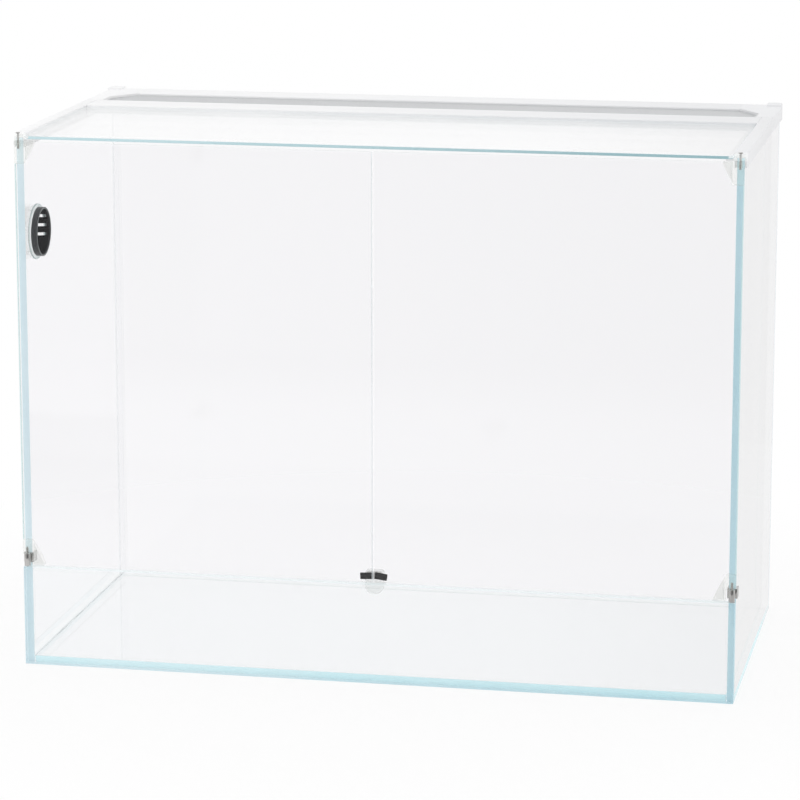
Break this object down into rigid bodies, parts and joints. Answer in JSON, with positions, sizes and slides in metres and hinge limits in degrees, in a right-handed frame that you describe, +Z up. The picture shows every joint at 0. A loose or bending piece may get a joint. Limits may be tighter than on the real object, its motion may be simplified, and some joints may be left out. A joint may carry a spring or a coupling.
{
  "type": "paludarium",
  "caption": "Rimless glass paludarium with outward-swinging front doors over a low front panel, a white top frame with a rear mesh vent and a lift-off glass lid.",
  "frame": {"origin": "middle of the footprint, on the surface that the tank stands on", "axes": "+X to the right seen from the front, +Y to the back, +Z up"},
  "size_m": [0.6042, 0.3041, 0.454],
  "materials": {
    "tank_glass": "clear float glass with ground edges",
    "door_glass": "clear float glass with ground edges",
    "lid_glass": "clear float glass with ground edges",
    "silicone": "translucent grey silicone",
    "white_frame": "white moulded plastic, fine satin",
    "mesh_steel": "woven steel wire",
    "clear_plastic": "translucent moulded plastic",
    "clear_grommet": "clear soft plastic",
    "black_plastic": "black moulded plastic, satin",
    "black_steel": "black coated steel",
    "magnet": "nickel plated",
    "bright_steel": "bright stainless steel"
  },
  "bodies": {
    "tank": {"base_glass": "tank_glass", "left_side_glass": "tank_glass", "right_side_glass": "tank_glass", "back_glass": "tank_glass", "front_lower_glass": "tank_glass", "floor_seam": "silicone", "left_rear_seam": "silicone", "right_rear_seam": "silicone", "left_front_seam": "silicone", "right_front_seam": "silicone", "left_top_rail": "white_frame", "right_top_rail": "white_frame", "rear_top_rail": "white_frame", "vent_front_bar": "white_frame", "left_corner_block": "white_frame", "right_corner_block": "white_frame", "vent_mesh": "mesh_steel", "catch_body": "clear_plastic", "catch_magnet": "magnet", "vent_grommet": "clear_grommet", "vent_louvre_cap": "black_plastic", "left_upper_hinge_bracket": "clear_plastic", "left_upper_hinge_pin": "bright_steel", "left_lower_hinge_clip": "bright_steel", "left_lower_hinge_pin": "bright_steel", "right_upper_hinge_bracket": "clear_plastic", "right_upper_hinge_pin": "bright_steel", "right_lower_hinge_clip": "bright_steel", "right_lower_hinge_pin": "bright_steel"},
    "left_door": {"left_door_glass": "door_glass", "left_lower_hinge_corner": "clear_plastic", "left_upper_hinge_corner": "clear_plastic", "left_upper_hinge_bush": "clear_plastic", "left_strike_plate": "black_steel"},
    "right_door": {"right_door_glass": "door_glass", "right_lower_hinge_corner": "clear_plastic", "right_upper_hinge_corner": "clear_plastic", "right_upper_hinge_bush": "clear_plastic", "right_strike_plate": "black_steel"},
    "lid": {"top_lid_glass": "lid_glass"}
  },
  "joints": [
    {"name": "left_door_swing", "type": "hinge", "parent": "tank", "child": "left_door", "pos_m": [-0.297, -0.148, 0.2662], "axis": [0, 0, -1], "range_deg": [0, 170]},
    {"name": "right_door_swing", "type": "hinge", "parent": "tank", "child": "right_door", "pos_m": [0.297, -0.148, 0.2662], "axis": [0, 0, 1], "range_deg": [0, 170]},
    {"name": "lid_lift", "type": "slide", "parent": "tank", "child": "lid", "axis": [0, 0, 1], "range_m": [0, 0.12]}
  ]
}
